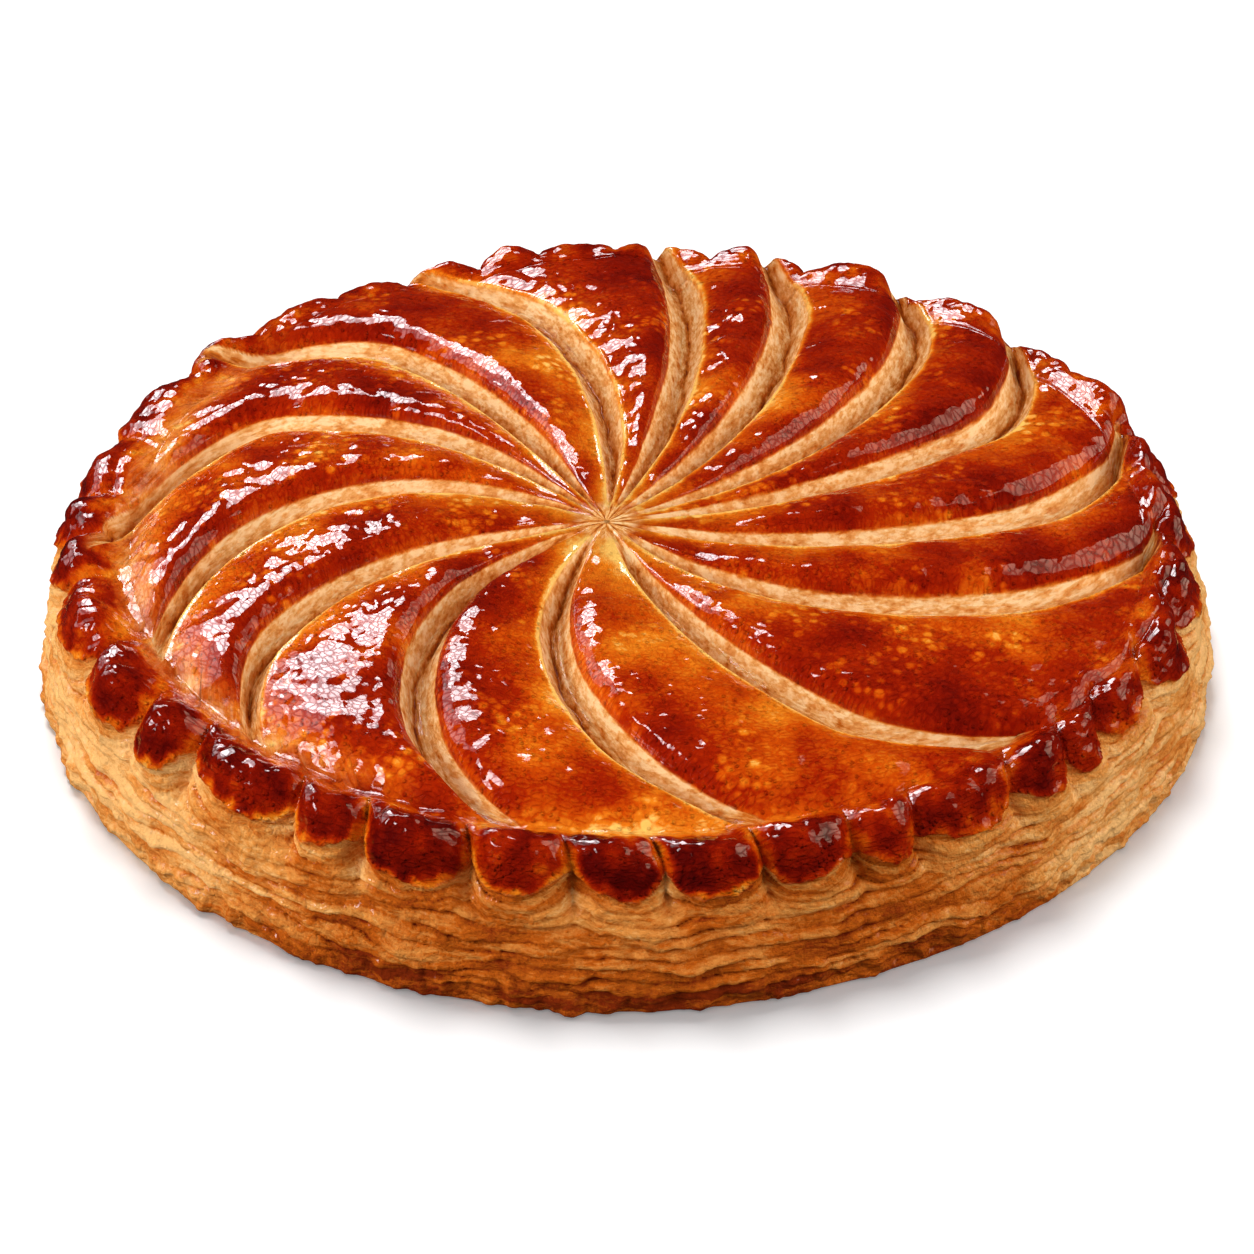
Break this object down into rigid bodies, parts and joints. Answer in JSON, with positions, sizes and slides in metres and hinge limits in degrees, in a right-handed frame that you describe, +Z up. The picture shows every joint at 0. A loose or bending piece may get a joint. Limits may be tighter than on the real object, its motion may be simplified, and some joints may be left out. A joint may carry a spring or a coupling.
{
  "type": "galette des rois",
  "caption": "Whole round puff-pastry cake: a low dome scored with swirling grooves inside a raised, pinched rim, with flaky layered sides and a wider flat foot.",
  "frame": {"origin": "centre of the round, on the surface that its flat foot rests on", "axes": "+Z up through the dome; the side seen at the front of the picture faces -Y; +X to its right"},
  "size_m": [0.2609, 0.2623, 0.0435],
  "materials": {
    "pastry": "baked puff pastry: glazed mahogany to amber on the ridges and the rim, pale gold and dry in the grooves and on the flaky side"
  },
  "bodies": {
    "root": {"galette": "pastry"}
  },
  "joints": []
}
